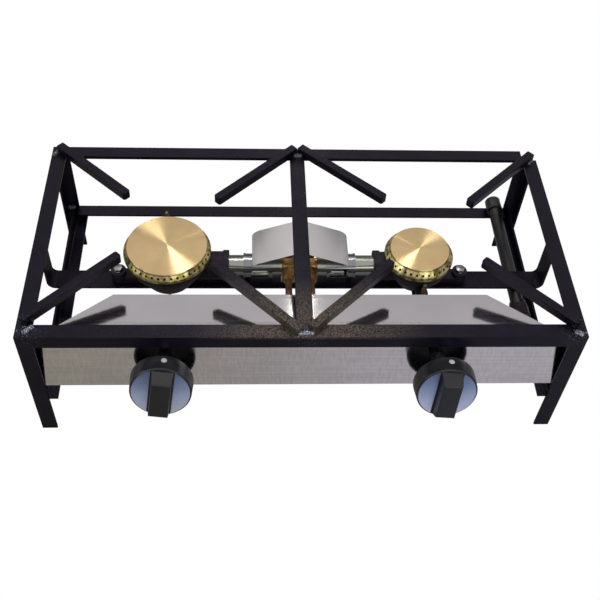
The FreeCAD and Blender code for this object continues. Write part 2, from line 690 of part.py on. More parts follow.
def gas_main():
    """Steel pipe: across behind the panel, round the corner, back along the side."""
    m = main_point()
    rise = m.y + 29.0
    pts = [(-knob_x - 24, m.y, m.z), (pipe_x, m.y, m.z), (pipe_x, rise, m.z),
           (pipe_x, rise + 19.0, pipe_z), (pipe_x, union_y - 22, pipe_z)]
    return bent_tube(pts, pipe_od / 2, pipe_bend, pipe_od / 2 - pipe_wall)


def main_plug():
    """Cap screwed on the blind end of the main."""
    m = main_point()
    x = -knob_x - 24
    cap = aimed(hexagon(20.0, 0, 9.0), Vector(x - 7.0, m.y, m.z), Vector(1, 0, 0))
    cap = cap.cut(cyl(pipe_od / 2, -7.0 + 7.0, 10.0, Vector(x, m.y, m.z), Vector(1, 0, 0)))
    return tidy(cap)


def pipe_union():
    """Hexagon union that joins the main to the side pipe."""
    u = hexagon(22.0, 0, 16.0, True)
    u = u.fuse(cyl(10.0, -6.0, 22.0)).cut(cyl(pipe_od / 2, -20, 40))
    return tidy(aimed(u, Vector(pipe_x, union_y - 30, pipe_z), Vector(0, 1, 0)))


def inlet_pipe():
    pipe = cyl(pipe_od / 2, union_y - 21.5, pipe_rear_y, Vector(pipe_x, 0, pipe_z),
               Vector(0, 1, 0))
    return tidy(pipe.cut(cyl(pipe_od / 2 - pipe_wall, -100, 200,
                             Vector(pipe_x, 0, pipe_z), Vector(0, 1, 0))))


def inlet_socket():
    """Threaded socket at the rear, where the gas supply screws in."""
    s = revolve([(0, 0), (9.8, 0), (socket_r, 0.8), (socket_r, 3.6), (9.9, 4.2), (9.9, 18.2),
                 (9.3, 19.0), (0, 19.0)])
    s = s.cut(cyl(pipe_od / 2, -1, 7.0)).cut(cyl(inlet_thread_r, 19.0 - inlet_len, 30))
    return tidy(aimed(s, Vector(pipe_x, pipe_rear_y - 7.0, pipe_z), Vector(0, 1, 0)))


def supply_tube(side):
    """Copper tube from the tap's outlet to its injector."""
    d = inward(side)
    x_tap = -d * knob_x + d * 20.0
    v = panel_point(0, knob_s, -valve_depth - 4)
    x_jet = -d * injector_x
    pts = [(x_tap, v.y, v.z), (x_jet, v.y, v.z), (x_jet, -14.0, tube_z)]
    lift = 14.0
    pts = [(x_tap, v.y, v.z), (x_tap + d * 30.0, v.y, v.z), (x_jet - d * 34.0, v.y, tube_z),
           (x_jet, v.y, tube_z), (x_jet, -14.0, tube_z)]
    return bent_tube(pts, supply_od / 2, lift, supply_od / 2 - 1.0)


# ---------------------------------------------------------------- flame failure probes
probe_r = 3.0


def probe_spot(side):
    """Right probe stands at the front of its burner, left probe behind its own."""
    b = burner_sizes[side]
    if side == "left":
        return Vector(b["x"] - 3.5, b["rim"] + 4.6, 0)
    return Vector(b["x"] + 3.5, -b["rim"] - 1.6, 0)


def probe_bracket(side):
    """Strip from under the burner's bar out to the probe."""
    p = probe_spot(side)
    y_sign = 1 if p.y > 0 else -1
    t, w = 2.0, 14.0
    z = bar_top - bar_t - t
    rise_y = p.y - y_sign * 8.0
    a, b = sorted((rise_y, rise_y - y_sign * t))
    keep = box(p.x - w / 2, p.x + w / 2, *sorted((y_sign * 4.0, rise_y)), z, z + t)
    riser = box(p.x - w / 2, p.x + w / 2, a, b, z, probe_shelf(side) + t)
    shelf = box(p.x - w / 2, p.x + w / 2, *sorted((rise_y - y_sign * t, p.y + y_sign * 6.0)),
                probe_shelf(side), probe_shelf(side) + t)
    strip = keep.fuse(riser).fuse(shelf)
    strip = strip.cut(cyl(probe_r, 0, 300, p))
    return tidy(strip)


def probe_shelf(side):
    return 118.0 if side == "left" else 111.0


def probe(side):
    """Thermocouple: bright tip, nut on the shelf, body below it."""
    p = probe_spot(side)
    z = probe_shelf(side)
    tip = 153.5 if side == "left" else 134.5
    body = revolve([(0, z - 10), (1.6, z - 10), (probe_r, z - 8), (probe_r, tip - 6),
                    (2.2, tip - 5), (2.2, tip - 1.0), (1.4, tip), (0, tip)])
    collar = hexagon(9.0, 0, 5.0)
    collar.translate(Vector(0, 0, z + 2.0))
    body = body.fuse(collar)
    body.translate(p)
    return tidy(body)


def probe_lead(side):
    """Capillary from the probe back to the tail of its tap."""
    p = probe_spot(side)
    z = probe_shelf(side) - 10.0
    x_tap = -knob_x if side == "left" else knob_x
    tail = panel_point(x_tap, knob_s, -valve_depth - 17.0)
    low = bar_top - bar_t - 12.0
    y_back = tail.y + 22.0
    pts = [(p.x, p.y, z), (p.x, p.y, low), (p.x, y_back, low),
           (tail.x, y_back, low)]
    if side == "left":
        pts = [(p.x, p.y, z), (p.x, p.y, low), (p.x, y_back, low)]
    n = panel_out * -1
    end = Vector(tail.x, tail.y, tail.z)
    meet = end + n * ((y_back - end.y) / n.y)
    if abs(p.x - tail.x) < 12:
        pts = [(p.x, p.y, z), (p.x, p.y, low), (tail.x, y_back + 6, low)]
    pts += [tuple(meet + Vector(0, 0, 0)), tuple(end)]
    return bent_tube(pts, 1.25, 5.0)


# ---------------------------------------------------------------- assembly
def build():
    parts["front_rail"] = cross_rail(True)
    parts["rear_rail"] = cross_rail(False)
    parts["side_rail_left"] = side_rail(-1, half_d)
    parts["side_rail_right"] = side_rail(1, half_d - rear_right_cope)
    parts["centre_rail"] = centre_rail()
    leg_top = rail_top - angle_t
    parts["leg_front_left"] = leg(-1, -1, leg_top)
    parts["leg_front_right"] = leg(1, -1, leg_top)
    parts["leg_rear_left"] = leg(-1, 1, leg_top)
    parts["leg_rear_right"] = leg(1, 1, rail_top - rear_right_leg_drop)
    parts["lower_rail_rear"] = low_rear_rail()
    parts["lower_rail_left"] = low_side_rail(-1)
    parts["lower_rail_right"] = low_side_rail(1)
    parts["support_bar"] = support_bar()
    for y_name in ("front", "rear"):
        for x_name in ("left", "right"):
            parts["pot_finger_%s_%s" % (y_name, x_name)] = pot_finger(y_name + "_" + x_name)
        parts["pot_fingers_%s_centre" % y_name] = group(
            [pot_finger(y_name + "_centre_" + x_name) for x_name in ("left", "right")])
    steel = [s for n, s in parts.items()]
    parts["weld_beads"] = weld_beads(steel)
    parts["front_panel"] = front_panel()
    parts["heat_shield"] = heat_shield()
    parts["injector_bracket"] = injector_bracket()
    parts["lug_screws"] = lug_screws()
    parts["gas_main"] = gas_main()
    parts["main_plug"] = main_plug()
    parts["pipe_union"] = pipe_union()
    parts["inlet_pipe"] = inlet_pipe()
    parts["inlet_socket"] = inlet_socket()
    for side in ("left", "right"):
        parts["burner_bowl_" + side] = burner_bowl(side)
        parts["burner_cap_" + side] = burner_cap(side)
        parts["mixing_tube_" + side] = mixing_tube(side)
        parts["air_shutter_" + side] = air_shutter(side)
        parts["injector_" + side] = injector(side)
        parts["supply_tube_" + side] = supply_tube(side)
        parts["tap_" + side] = valve(side)
        parts["tap_plug_" + side] = tap_plug(side)
        parts["spindle_" + side] = spindle(side)
        parts["knob_" + side] = knob(side)
        parts["knob_insert_" + side] = knob_insert(side)
        parts["knob_dot_" + side] = knob_dot(side)
        parts["probe_" + side] = probe(side)
        parts["probe_bracket_" + side] = probe_bracket(side)
        parts["probe_lead_" + side] = probe_lead(side)


def centring_shift():
    box_all = FreeCAD.BoundBox()
    for shape in parts.values():
        box_all.add(shape.optimalBoundingBox(False))
    return Vector(-(box_all.XMin + box_all.XMax) / 2, -(box_all.YMin + box_all.YMax) / 2,
                  -box_all.ZMin)


build()
shift = centring_shift()
os.makedirs("parts", exist_ok=True)
for name, shape in parts.items():
    placed = shape.copy()
    placed.translate(shift)
    placed.exportStep("parts/%s.step" % name)
    bad = [s for s in placed.Solids if not s.isValid() or s.Volume <= 0]
    print(name, len(placed.Solids), "INVALID" if bad or not placed.Solids else "ok",
          round(placed.Volume))
print("shift", [round(v, 4) for v in shift], "nodes", len(parts))
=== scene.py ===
import json
import math
import random

import bmesh
import bpy
from mathutils import Matrix, Vector


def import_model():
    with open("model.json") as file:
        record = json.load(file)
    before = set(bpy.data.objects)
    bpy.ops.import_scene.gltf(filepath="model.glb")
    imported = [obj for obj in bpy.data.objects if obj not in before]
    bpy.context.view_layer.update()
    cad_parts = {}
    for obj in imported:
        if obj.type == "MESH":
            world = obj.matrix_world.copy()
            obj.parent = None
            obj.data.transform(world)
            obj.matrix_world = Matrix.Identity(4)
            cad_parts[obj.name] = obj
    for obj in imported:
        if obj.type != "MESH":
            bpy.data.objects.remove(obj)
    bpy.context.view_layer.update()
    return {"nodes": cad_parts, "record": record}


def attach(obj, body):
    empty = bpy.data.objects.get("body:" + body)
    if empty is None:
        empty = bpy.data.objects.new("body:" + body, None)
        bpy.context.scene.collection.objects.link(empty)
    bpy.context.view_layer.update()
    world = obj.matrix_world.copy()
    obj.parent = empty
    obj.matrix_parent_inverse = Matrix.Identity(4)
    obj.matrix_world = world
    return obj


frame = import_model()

scene = bpy.context.scene
nodes = frame["nodes"]

# ------------------------------------------------------------------ the object's own places
SHIFT_Y = 0.0256477            # frame's middle behind the bounding box's middle
HALF_W, HALF_D, RAIL_TOP = 0.300, 0.148, 0.173
PANEL_FOLD_Y = -0.0895         # the panel's hatched face ends here, before its top flange
SCREWS_X, SCREW_FOOT_Z, WASHER_Z = (-0.214, 0.1945), 0.0862, 0.112
INLET = (HALF_W - 0.0335, 0.1392, 0.0833)
INJECTOR_X, UNION_Y, UNION_Z = 0.0134, -0.0202, 0.120
# burner: x, rim radius, face radius, height of the middle and of the port cone's foot, ports
CAPS = {"left": (-0.154, 0.0505, 0.0460, 0.1570, 0.1475, 42),
        "right": (0.1405, 0.0405, 0.0343, 0.1525, 0.1415, 34)}


# ------------------------------------------------------------------ node helpers
class Mat:
    """A small wrapper that makes procedural materials shorter to write."""

    def __init__(self, name, base, metallic=0.0, roughness=0.5, **sockets):
        self.mat = bpy.data.materials.new(name)
        self.mat.use_nodes = True
        self.tree = self.mat.node_tree
        self.bsdf = self.tree.nodes["Principled BSDF"]
        self.bsdf.inputs["Base Color"].default_value = (*base, 1.0)
        self.bsdf.inputs["Metallic"].default_value = metallic
        self.bsdf.inputs["Roughness"].default_value = roughness
        for key, value in sockets.items():
            self.bsdf.inputs[key.replace("_", " ")].default_value = value
        self.height = None

    def node(self, kind, **settings):
        n = self.tree.nodes.new(kind)
        for key, value in settings.items():
            setattr(n, key, value)
        return n

    def link(self, a, b):
        self.tree.links.new(a, b)

    def place(self, scale=(1, 1, 1), offset=(0, 0, 0)):
        """Position in the object's own frame, moved and stretched."""
        tc = self.node("ShaderNodeTexCoord")
        m = self.node("ShaderNodeMapping")
        m.inputs["Scale"].default_value = scale
        m.inputs["Location"].default_value = offset
        self.link(tc.outputs["Object"], m.inputs["Vector"])
        return m.outputs["Vector"]

    def noise(self, scale, detail=3.0, rough=0.55, where=None, distortion=0.0):
        n = self.node("ShaderNodeTexNoise")
        n.inputs["Scale"].default_value = scale
        n.inputs["Detail"].default_value = detail
        n.inputs["Roughness"].default_value = rough
        n.inputs["Distortion"].default_value = distortion
        self.link(where or self.place(), n.inputs["Vector"])
        return n.outputs["Fac"]

    def cells(self, scale, where=None, feature="F1"):
        n = self.node("ShaderNodeTexVoronoi", feature=feature)
        n.inputs["Scale"].default_value = scale
        self.link(where or self.place(), n.inputs["Vector"])
        return n.outputs["Distance"]

    def math(self, op, a, b=0.0, c=0.0):
        n = self.node("ShaderNodeMath", operation=op)
        for i, value in enumerate((a, b, c)):
            if hasattr(value, "links"):
                self.link(value, n.inputs[i])
            else:
                n.inputs[i].default_value = value
        return n.outputs[0]

    def ramp(self, fac, stops):
        n = self.node("ShaderNodeValToRGB")
        e = n.color_ramp.elements
        while len(e) < len(stops):
            e.new(0.5)
        for item, (pos, colour) in zip(e, stops):
            item.position = pos
            item.color = (*colour, 1.0) if len(colour) == 3 else colour
        self.link(fac, n.inputs["Fac"])
        return n.outputs["Color"]

    def mix(self, a, b, fac):
        """Blend of two colours, each a socket or three numbers."""
        n = self.node("ShaderNodeMix", data_type="RGBA", clamp_factor=True)
        for socket, value in ((n.inputs[0], fac), (n.inputs[6], a), (n.inputs[7], b)):
            if hasattr(value, "links"):
                self.link(value, socket)
            elif isinstance(value, tuple):
                socket.default_value = (*value, 1.0)
            else:
                socket.default_value = value
        return n.outputs[2]

    def span(self, value, low, high, out_low=0.0, out_high=1.0):
        n = self.node("ShaderNodeMapRange")
        for i, v in enumerate((low, high, out_low, out_high)):
            n.inputs[i + 1].default_value = v
        self.link(value, n.inputs[0])
        return n.outputs[0]

    def colour(self, output):
        self.link(output, self.bsdf.inputs["Base Color"])

    def rough(self, output):
        self.link(output, self.bsdf.inputs["Roughness"])

    def bump(self, height, depth, strength=1.0):
        """Adds a layer of relief, depth in metres, over the ones before it."""
        n = self.node("ShaderNodeBump")
        n.inputs["Strength"].default_value = strength
        n.inputs["Distance"].default_value = depth
        self.link(height, n.inputs["Height"])
        if self.height is not None:
            self.link(self.height, n.inputs["Normal"])
        self.height = n.outputs["Normal"]
        self.link(self.height, self.bsdf.inputs["Normal"])

    def soften(self, radius):
        """Rounded arrises: normals blend over each sharp edge."""
        n = self.node("ShaderNodeBevel", samples=6)
        n.inputs["Radius"].default_value = radius
        self.height = n.outputs["Normal"]
        self.link(self.height, self.bsdf.inputs["Normal"])


# middle, heading, length of each visible weld on the top rails and the lower rear rail
WELDS = [(-HALF_W + 0.0135, -HALF_D + 0.0105, RAIL_TOP, 45, 0.009),
         (HALF_W - 0.0095, -HALF_D + 0.0048, RAIL_TOP, -30, 0.005),
         (0.0, -HALF_D + 0.0055, RAIL_TOP, 0, 0.013),
         (-HALF_W + 0.005, HALF_D - 0.013, RAIL_TOP, 60, 0.006),
         (-HALF_W + 0.008, HALF_D - 0.0047, 0.0742, 0, 0.005),
         (HALF_W - 0.009, HALF_D - 0.021, RAIL_TOP, 45, 0.005),
         (0.0005, HALF_D - 0.013, RAIL_TOP, 0, 0.006)]
FRONT_WELDS = WELDS[:3]


def textured_black():
    """Black hammered coat: a painted bronze highlight near the front's middle, and spatter by
    the front welds painted with bright bluish glints.
    """
    gloss = 0.26
    m = Mat("black_coat", (0.007, 0.0065, 0.009), 0.0, gloss)
    m.bsdf.inputs["Specular IOR Level"].default_value = 0.19
    m.bsdf.inputs["Specular Tint"].default_value = (0.82, 0.76, 1.0, 1.0)
    m.soften(0.0007)
    broad = m.noise(38.0, 4.0, 0.6)
    fine = m.cells(520.0, m.place(), "SMOOTH_F1")
    grain = m.noise(1300.0, 2.0, 0.5)
    base = m.ramp(broad, [(0.3, (0.0024, 0.0018, 0.0046)), (0.55, (0.0050, 0.0038, 0.0092)),
                          (0.8, (0.0090, 0.0068, 0.0155))])
    where = m.place()
    sep = m.node("ShaderNodeSeparateXYZ")
    m.link(where, sep.inputs[0])
    away = m.math("ABSOLUTE", m.math("SUBTRACT", sep.outputs["X"], 0.005))
    # painted highlight: bronze specks on the rails' top faces near the front's middle, where a
    # lamp's reflection falls
    near = m.math("MULTIPLY", m.span(away, 0.04, 0.125, 1.0, 0.0),
                  m.span(sep.outputs["Y"], -0.04, -0.09, 0.0, 1.0))
    top = m.span(sep.outputs["Z"], RAIL_TOP - 0.004, RAIL_TOP - 0.0005, 0.0, 1.0)
    flecks = m.span(m.noise(900.0, 3.0, 0.7), 0.46, 0.60)
    painted_bronze_glint = m.math("MULTIPLY", m.math("MULTIPLY", near, top), flecks)
    coat_with_painted_glint = m.mix(base, (0.17, 0.135, 0.080), painted_bronze_glint)
    closest = None
    for x, y, z, _, _ in FRONT_WELDS:
        d = m.node("ShaderNodeVectorMath", operation="DISTANCE")
        m.link(where, d.inputs[0])
        d.inputs[1].default_value = (x, y + SHIFT_Y, z)
        closest = d.outputs["Value"] if closest is None else m.math(
            "MINIMUM", closest, d.outputs["Value"])
    # painted glints: spatter specks round the front welds are painted bright bluish and made
    # less rough
    spots = m.span(m.noise(640.0, 4.0, 0.75), 0.60, 0.66)
    spatter = m.math("MULTIPLY", m.span(closest, 0.008, 0.024, 0.55, 0.0), spots)
    m.colour(m.mix(coat_with_painted_glint, (0.42, 0.45, 0.58), spatter))
    m.rough(m.math("SUBTRACT", m.span(grain, 0.3, 0.7, gloss - 0.06, gloss + 0.14),
                   m.math("MULTIPLY", spatter, 0.15)))
    m.bump(fine, 0.00022, 0.8)
    m.bump(grain, 0.00010, 0.6)
    return m.mat


def weld_coat():
    """Glossy coat over rippled weld, with bare metal flecks that are painted brighter towards
    the front as glints.
    """
    m = Mat("weld_steel", (0.012, 0.012, 0.020), 0.0, 0.12)
    m.bsdf.inputs["Specular IOR Level"].default_value = 0.7
    m.soften(0.0003)
    sep = m.node("ShaderNodeSeparateXYZ")
    m.link(m.place(), sep.inputs[0])
    # bare metal flecks, dimmed towards the back so that the front ones show as painted glints
    flecks = m.math("MULTIPLY", m.span(m.noise(760.0, 4.0, 0.75), 0.50, 0.58),
                    m.span(sep.outputs["Y"], 0.0, 0.1, 1.0, 0.25))
    m.colour(m.mix(m.ramp(m.noise(90.0), [(0.3, (0.008, 0.008, 0.014)),
                                          (0.7, (0.030, 0.030, 0.050))]),
                   (0.80, 0.85, 1.0), m.math("MULTIPLY", flecks, 0.85)))
    m.link(m.math("MULTIPLY", flecks, 0.8), m.bsdf.inputs["Metallic"])
    m.bump(m.noise(1500.0, 2.0, 0.5), 0.0002, 0.7)
    return m.mat


def satin_steel(name, base, rough, grain_axis="x", relief=0.5, hatched_before=None):
    """Sheet with fine grain along one axis, faint uneven polish and a hatched front part."""
    m = Mat(name, base, 1.0, rough)
    m.soften(0.0004)
    scale = {"x": (6.0, 900.0, 900.0), "y": (900.0, 6.0, 900.0)}[grain_axis]
    lines = m.noise(1.0, 3.0, 0.6, m.place(scale))
    cloud = m.noise(9.0, 4.0, 0.6)
    low, high = [tuple(min(1.0, c * k) for c in base) for k in (0.93, 1.04)]
    tone = m.ramp(cloud, [(0.3, low), (0.7, high)])
    if hatched_before is not None:
        sep = m.node("ShaderNodeSeparateXYZ")
        m.link(m.place(), sep.inputs[0])
        hatch = m.math("ADD", m.noise(1.0, 2.0, 0.5, m.place((380.0, 380.0, 9.0))),
                       m.noise(1.0, 2.0, 0.5, m.place((9.0, 9.0, 380.0))))
        here = m.span(sep.outputs["Y"], hatched_before - 0.002, hatched_before, 1.0, 0.0)
        tone = m.mix(tone, tuple(c * 0.62 for c in base),
                     m.math("MULTIPLY", here, m.span(hatch, 0.86, 1.14, 0.0, 0.36)))
    m.colour(tone)
    m.rough(m.span(lines, 0.3, 0.7, rough - 0.03, rough + 0.06))
    m.bump(lines, 0.00002, relief)
    m.bump(cloud, 0.0003, 0.06)
    return m.mat


def turned_brass(name, side):
    """Faced brass: grooves run round the axis, so light fans out in wedges."""
    x, rim, face, top, foot, ports = CAPS[side]
    m = Mat(name, (0.78, 0.58, 0.32), 1.0, 0.24, Anisotropic=1.0)
    m.soften(0.0003)
    where = m.place(offset=(-x, -SHIFT_Y, 0.0))
    sep = m.node("ShaderNodeSeparateXYZ")
    m.link(where, sep.inputs[0])
    flat = m.node("ShaderNodeCombineXYZ")
    m.link(sep.outputs["X"], flat.inputs["X"])
    m.link(sep.outputs["Y"], flat.inputs["Y"])
    length = m.node("ShaderNodeVectorMath", operation="LENGTH")
    m.link(flat.outputs[0], length.inputs[0])
    r, z = length.outputs["Value"], sep.outputs["Z"]
    m.link(flat.outputs[0], m.bsdf.inputs["Tangent"])
    rings = m.node("ShaderNodeCombineXYZ")
    m.link(r, rings.inputs["X"])
    fine = m.noise(2600.0, 3.0, 0.7, rings.outputs[0])
    broad = m.noise(260.0, 2.0, 0.5, rings.outputs[0])
    stain = m.noise(30.0, 4.0, 0.6)
    face_tone = m.ramp(m.math("MULTIPLY_ADD", fine, 0.5, m.math("MULTIPLY", stain, 0.5)),
                       [(0.3, (0.66, 0.48, 0.23)), (0.5, (0.74, 0.55, 0.28)),
                        (0.7, (0.82, 0.63, 0.35))])
    # below the face's edge come a dark band of painted shade with the slots' ticks, the drilled
    # cone and a greener upright rim
    edge = top - 0.0034
    turn = m.math("ARCTAN2", sep.outputs["Y"], sep.outputs["X"])
    round_band = m.node("ShaderNodeCombineXYZ")
    m.link(m.math("SINE", turn), round_band.inputs["X"])
    m.link(m.math("COSINE", turn), round_band.inputs["Y"])
    m.link(m.math("MULTIPLY", z, 30.0), round_band.inputs["Z"])
    # round the band the tone runs from dark to near white: uneven tone with painted glints at
    # the pale end
    tone_and_glint_patches = m.noise(5.0, 3.0, 0.65, round_band.outputs[0])
    cone_tone = m.ramp(tone_and_glint_patches, [(0.36, (0.34, 0.26, 0.07)), (0.5, (0.80, 0.68, 0.28)),
                                 (0.64, (1.0, 0.94, 0.60))])
    rim_tone = m.ramp(tone_and_glint_patches, [(0.36, (0.20, 0.16, 0.04)), (0.5, (0.50, 0.44, 0.14)),
                                (0.64, (0.92, 0.84, 0.44))])
    under = m.mix(rim_tone, cone_tone, m.span(z, foot - 0.0004, foot + 0.0008))
    # painted shade: a dark band just under the face's overhanging edge, deepest at ticks that
    # stand for the slots
    ticks = m.span(m.math("SINE", m.math("MULTIPLY", turn, ports * 4.0)), 0.0, 0.4)
    under_edge_shade = m.span(z, edge - 0.0016, edge - 0.0006)
    under = m.mix(under, (0.070, 0.043, 0.012), m.math(
        "MULTIPLY", under_edge_shade, m.math("MULTIPLY_ADD", ticks, 0.40, 0.45)))
    # painted shade: each port has a dark ring round its mouth
    run, drop = rim - face - 0.0004, edge - foot
    slant = math.hypot(run, drop)
    step = m.math("SUBTRACT", m.math("FRACT", m.math("MULTIPLY", turn, ports / math.tau)), 0.5)
    across = m.math("MULTIPLY", m.math("MULTIPLY", step, math.tau / ports), r)
    along = m.math("MULTIPLY", m.math("SUBTRACT", z, edge - 0.6 * drop), slant / drop)
    off = m.math("SQRT", m.math("ADD", m.math("MULTIPLY", across, across),
                                m.math("MULTIPLY", along, along)))
    under = m.mix(under, (0.030, 0.018, 0.006), m.span(off, 0.0012, 0.0019, 0.92, 0.0))
    tone = m.mix(under, face_tone, m.span(z, edge, edge + 0.0006))
    # behind the cone's surface, inside a port or under the cap, no light reaches
    reach = ((face + 0.0002) * drop + edge * run) / slant
    sunk = m.math("SUBTRACT", m.math("SUBTRACT", reach, m.math("MULTIPLY", r, drop / slant)),
                  m.math("MULTIPLY", z, run / slant))
    inside = m.math("MULTIPLY", m.span(sunk, 0.00015, 0.0005),
                    m.math("MULTIPLY", m.span(r, rim - 0.0010, rim - 0.0004, 1.0, 0.0),
                           m.span(z, edge - 0.0006, edge - 0.0002, 1.0, 0.0)))
    m.colour(m.mix(tone, (0.010, 0.007, 0.003), inside))
    m.link(m.math("SUBTRACT", 1.0, m.math("MULTIPLY", inside, 0.95)), m.bsdf.inputs["Metallic"])
    m.rough(m.math("ADD", m.span(fine, 0.3, 0.7, 0.20, 0.28), m.math("MULTIPLY", inside, 0.5)))
    m.bump(fine, 0.00002, 0.5)
    m.bump(broad, 0.00004, 0.4)
    return m.mat


def knob_plate():
    """Blue-grey satin plate with a painted reflection gradient: pale at its lower edge, dark at
    its top.
    """
    m = Mat("knob_plate", (0.30, 0.38, 0.52), 0.55, 0.30)
    m.soften(0.0003)
    sep = m.node("ShaderNodeSeparateXYZ")
    m.link(m.place(), sep.inputs[0])
    cloud = m.noise(55.0, 3.0, 0.5)
    # painted reflection: the plate pales downwards and darkens upwards
    height = m.math("MULTIPLY_ADD", cloud, 0.010, sep.outputs["Z"])
    m.colour(m.ramp(m.span(height, 0.088, 0.156), [
        (0.0, (0.84, 0.92, 1.0)), (0.35, (0.62, 0.72, 1.0)), (0.7, (0.26, 0.35, 0.58)),
        (1.0, (0.09, 0.13, 0.24))]))
    m.rough(m.span(m.noise(1200.0), 0.3, 0.7, 0.26, 0.36))
    m.bump(m.noise(900.0), 0.00003, 0.5)
    return m.mat


def plain_metal(name, base, rough, spots=120.0, relief=0.00003, low=0.75, high=1.12):
    """Bare or plated metal, unevenly toned and polished."""
    m = Mat(name, base, 1.0, rough)
    m.soften(0.00035)
    cloud = m.noise(spots, 4.0, 0.6)
    fine = m.noise(1800.0, 2.0, 0.5)
    tones = [tuple(min(1.0, c * k) for c in base) for k in (low, high)]
    m.colour(m.ramp(cloud, [(0.3, tones[0]), (0.7, tones[1])]))
    m.rough(m.span(cloud, 0.3, 0.7, max(0.03, rough - 0.06), rough + 0.10))
    m.bump(fine, relief, 0.6)
    return m.mat


def cast_iron():
    """Dark sand casting, lumpy and matt."""
    m = Mat("cast_iron", (0.012, 0.010, 0.013), 0.0, 0.55)
    m.bsdf.inputs["Specular IOR Level"].default_value = 0.30
    m.bsdf.inputs["Specular Tint"].default_value = (0.90, 0.80, 1.0, 1.0)
    m.soften(0.0008)
    sand = m.noise(700.0, 4.0, 0.7)
    lumps = m.noise(120.0, 3.0, 0.6)
    m.colour(m.ramp(lumps, [(0.3, (0.006, 0.005, 0.007)), (0.7, (0.020, 0.016, 0.021))]))
    m.rough(m.span(sand, 0.3, 0.7, 0.42, 0.66))
    m.bump(sand, 0.0003, 0.7)
    m.bump(lumps, 0.0007, 0.5)
    return m.mat


def moulded(name, base, rough, grain=900.0, relief=0.00004):
    """Plastic or paint with a fine grain."""
    m = Mat(name, base, 0.0, rough)
    m.soften(0.0005)
    fine = m.noise(grain, 3.0, 0.6)
    cloud = m.noise(40.0, 3.0, 0.5)
    tones = [tuple(c * k for c in base) for k in (0.8, 1.25)]
    m.colour(m.ramp(cloud, [(0.3, tones[0]), (0.7, tones[1])]))
    m.rough(m.span(fine, 0.3, 0.7, rough - 0.05, rough + 0.08))
    m.bump(fine, relief, 0.6)
    return m.mat


# ------------------------------------------------------------------ looks of the nodes
LOOKS = {
    "black_coat": textured_black(),
    "weld_steel": weld_coat(),
    "panel_steel": satin_steel("panel_steel", (0.90, 0.87, 0.86), 0.08, relief=0.06,
                               hatched_before=PANEL_FOLD_Y),
    "shield_steel": satin_steel("shield_steel", (0.92, 0.89, 0.88), 0.34, "y"),
    "zinc_steel": plain_metal("zinc_steel", (0.36, 0.36, 0.36), 0.22),
    "pipe_black": moulded("pipe_black", (0.006, 0.005, 0.006), 0.30, 300.0, 0.00012),
    "cast_iron": cast_iron(),
    "tube_chrome": plain_metal("tube_chrome", (0.40, 0.42, 0.375), 0.12, 20.0, 0.00002,
                               0.9, 1.04),
    "shutter_chrome": plain_metal("shutter_chrome", (0.33, 0.35, 0.345), 0.16, 30.0, 0.00002,
                                  0.86, 1.05),
    # painted shade: the fittings' brass is toned darker than the plug's brass
    "fitting_brass": plain_metal("fitting_brass", (0.56, 0.35, 0.13), 0.30, 160.0),
    "plug_brass": plain_metal("plug_brass", (0.70, 0.50, 0.24), 0.26),
    "spindle_steel": plain_metal("spindle_steel", (0.55, 0.55, 0.54), 0.25),
    "supply_steel": plain_metal("supply_steel", (0.36, 0.20, 0.13), 0.42),
    "knob_black": moulded("knob_black", (0.012, 0.012, 0.015), 0.30),
    "knob_plate": knob_plate(),
    "dot_white": moulded("dot_white", (0.72, 0.72, 0.70), 0.40),
    "probe_copper": plain_metal("probe_copper", (0.26, 0.17, 0.11), 0.38),
    "bracket_black": moulded("bracket_black", (0.02, 0.02, 0.02), 0.45),
    "lead_copper": plain_metal("lead_copper", (0.66, 0.36, 0.20), 0.30),
}
SLOT_OF = {s["node"]: s["material_slot"] for s in frame["record"]["subparts"]}


def dress(obj, look):
    """Gives every slot of a node one look."""
    if not obj.data.materials:
        obj.data.materials.append(look)
    for i in range(len(obj.material_slots)):
        obj.material_slots[i].link = "OBJECT"
        obj.material_slots[i].material = look


def smoothing(angle):
    """Node group that welds a mesh and smooths it up to a given edge angle."""
    g = bpy.data.node_groups.new("smooth_%d" % round(math.degrees(angle)), "GeometryNodeTree")
    g.interface.new_socket("Geometry", in_out="INPUT", socket_type="NodeSocketGeometry")
    g.interface.new_socket("Geometry", in_out="OUTPUT", socket_type="NodeSocketGeometry")
    inp, out = g.nodes.new("NodeGroupInput"), g.nodes.new("NodeGroupOutput")
    drop = g.nodes.new("GeometryNodeRemoveAttribute")
    drop.inputs["Name"].default_value = "custom_normal"
    weld = g.nodes.new("GeometryNodeMergeByDistance")
    weld.inputs["Distance"].default_value = 2e-6
    faces = g.nodes.new("GeometryNodeSetShadeSmooth")
    faces.domain = "FACE"
    edges = g.nodes.new("GeometryNodeSetShadeSmooth")
    edges.domain = "EDGE"
    turn = g.nodes.new("GeometryNodeInputMeshEdgeAngle")
    flat = g.nodes.new("FunctionNodeCompare")
    flat.operation = "LESS_EQUAL"
    flat.inputs[1].default_value = angle
    g.links.new(inp.outputs[0], drop.inputs["Geometry"])
    g.links.new(drop.outputs["Geometry"], weld.inputs["Geometry"])
    g.links.new(weld.outputs["Geometry"], faces.inputs["Geometry"])
    g.links.new(faces.outputs["Geometry"], edges.inputs["Geometry"])
    g.links.new(turn.outputs["Unsigned Angle"], flat.inputs[0])
    g.links.new(flat.outputs["Result"], edges.inputs["Shade Smooth"])
    g.links.new(edges.outputs["Geometry"], out.inputs[0])
    return g


SMOOTH = smoothing(math.radians(32.0))


for name, obj in nodes.items():
    slot = SLOT_OF[name]
    if slot == "burner_brass":
        side = name.split("_")[-1]
        dress(obj, turned_brass("burner_brass_" + side, side))
    else:
        dress(obj, LOOKS[slot])
    obj.modifiers.new("smooth", "NODES").node_group = SMOOTH


